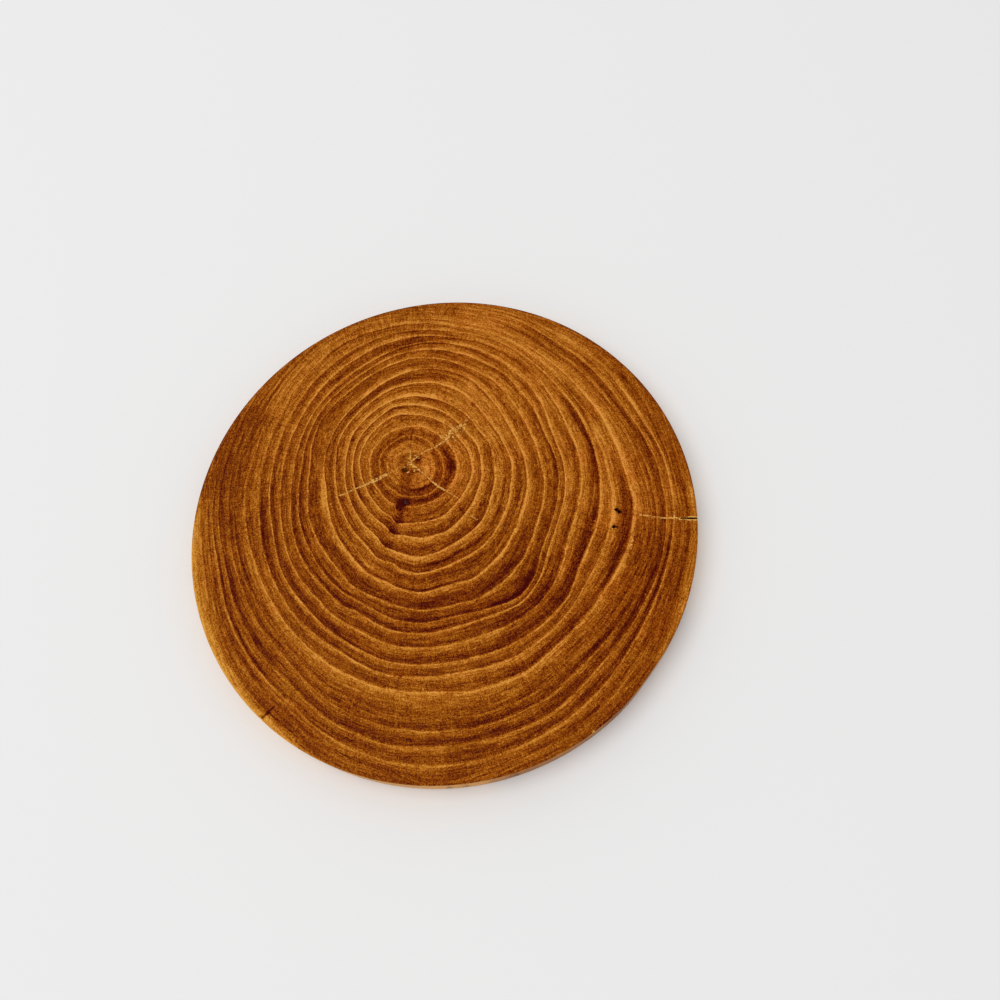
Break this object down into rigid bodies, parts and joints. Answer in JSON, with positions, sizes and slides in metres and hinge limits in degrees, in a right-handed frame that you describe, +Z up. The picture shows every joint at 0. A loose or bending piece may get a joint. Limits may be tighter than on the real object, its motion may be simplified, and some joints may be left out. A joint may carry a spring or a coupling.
{
  "type": "wood slice",
  "caption": "Round flat slice of elm cut across the trunk, bark removed, turned and sanded, with wide growth rings, a small pith hollow and a short drying check at the edge.",
  "frame": {"origin": "middle of the bottom face, on the surface that the slice lies on", "axes": "+Z up through the thickness and out of the show face, +X towards the drying check at the edge, +Y across the show face"},
  "size_m": [0.2476, 0.2514, 0.015],
  "materials": {
    "wood": "sanded elm end grain, oiled to a satin golden brown"
  },
  "bodies": {
    "root": {"wood_slice": "wood"}
  },
  "joints": []
}
